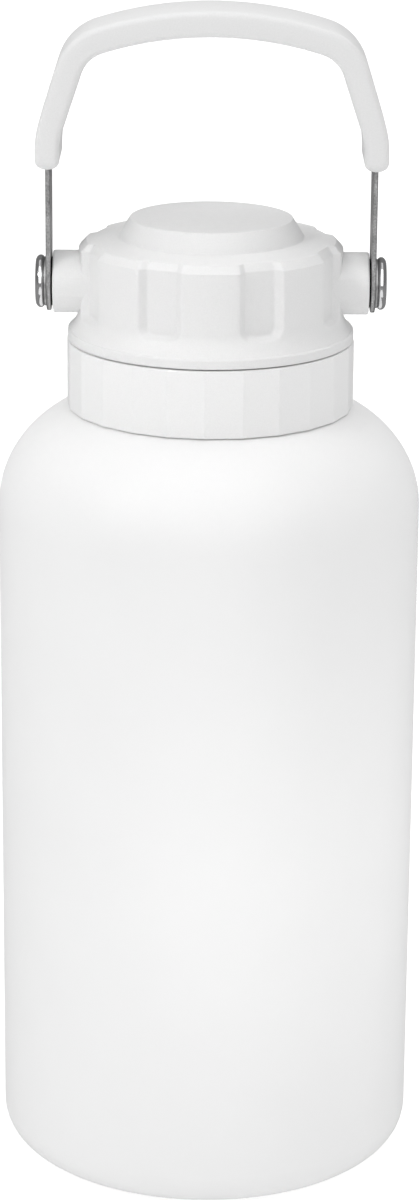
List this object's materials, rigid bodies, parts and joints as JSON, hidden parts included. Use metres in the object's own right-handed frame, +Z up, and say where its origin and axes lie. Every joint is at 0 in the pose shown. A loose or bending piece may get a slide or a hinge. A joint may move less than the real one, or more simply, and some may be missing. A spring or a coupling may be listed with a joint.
{
  "type": "insulated bottle",
  "caption": "Vacuum-insulated steel drinking bottle with a faceted screw collar and spout, a scalloped screw cap with side lugs, and a swinging steel bail with a moulded grip.",
  "frame": {"origin": "centre of the base pad's underside, on the surface the bottle stands on", "axes": "+Z up along the bottle's axis; the lugs and pivot screws lie along X; the upright bail lies in the XZ plane"},
  "size_m": [0.12, 0.12, 0.3363],
  "materials": {
    "powder_coat": "fine white powder coat",
    "bare_steel": "brushed",
    "solder": "dull grey",
    "pad": "matte pale grey",
    "white_plastic": "satin white moulding",
    "liner_plastic": "natural white polypropylene",
    "silicone": "translucent white",
    "foam": "cellular",
    "brass": "machined",
    "black_plastic": "matte black",
    "washer_steel": "satin",
    "polished_steel": "polished",
    "strap_steel": "bead-blasted",
    "grip_plastic": "satin white, soft edges"
  },
  "bodies": {
    "bottle": {"outer_shell": "powder_coat", "inner_liner": "bare_steel", "threaded_neck": "bare_steel", "outer_base": "bare_steel", "vacuum_plug": "solder", "getter": "solder", "base_pad": "pad"},
    "collar_seal": {"collar_gasket": "silicone"},
    "collar": {"spout_collar": "white_plastic"},
    "lid_seal": {"lid_gasket": "silicone"},
    "lid": {"lid_shell": "white_plastic", "lid_liner": "liner_plastic", "lid_insulation": "foam", "right_insert": "brass", "left_insert": "brass", "right_inner_washer": "black_plastic", "left_inner_washer": "black_plastic", "right_outer_washer": "washer_steel", "left_outer_washer": "washer_steel", "right_pivot_screw": "polished_steel", "left_pivot_screw": "polished_steel"},
    "bail": {"bail_strap": "strap_steel", "handle_grip": "grip_plastic"}
  },
  "joints": [
    {"name": "collar_lift", "type": "slide", "parent": "bottle", "child": "collar_seal", "axis": [0, 0, 1], "range_m": [0, 0.012]},
    {"name": "collar_turn", "type": "hinge", "parent": "collar_seal", "child": "collar", "pos_m": [0, 0, 0.2332], "axis": [0, 0, 1], "range_deg": [0, 720]},
    {"name": "lid_lift", "type": "slide", "parent": "collar", "child": "lid_seal", "axis": [0, 0, 1], "range_m": [0, 0.01]},
    {"name": "lid_turn", "type": "hinge", "parent": "lid_seal", "child": "lid", "pos_m": [0, 0, 0.2525], "axis": [0, 0, 1], "range_deg": [0, 720]},
    {"name": "bail_swing", "type": "hinge", "parent": "lid", "child": "bail", "pos_m": [0, 0, 0.2589], "axis": [1, 0, 0], "range_deg": [-118, 118]}
  ],
  "couplings": [
    {"joint": "collar_lift", "follows": "collar_turn", "m_per_rad": 0.00095493},
    {"joint": "lid_lift", "follows": "lid_turn", "m_per_rad": 0.00079577}
  ]
}
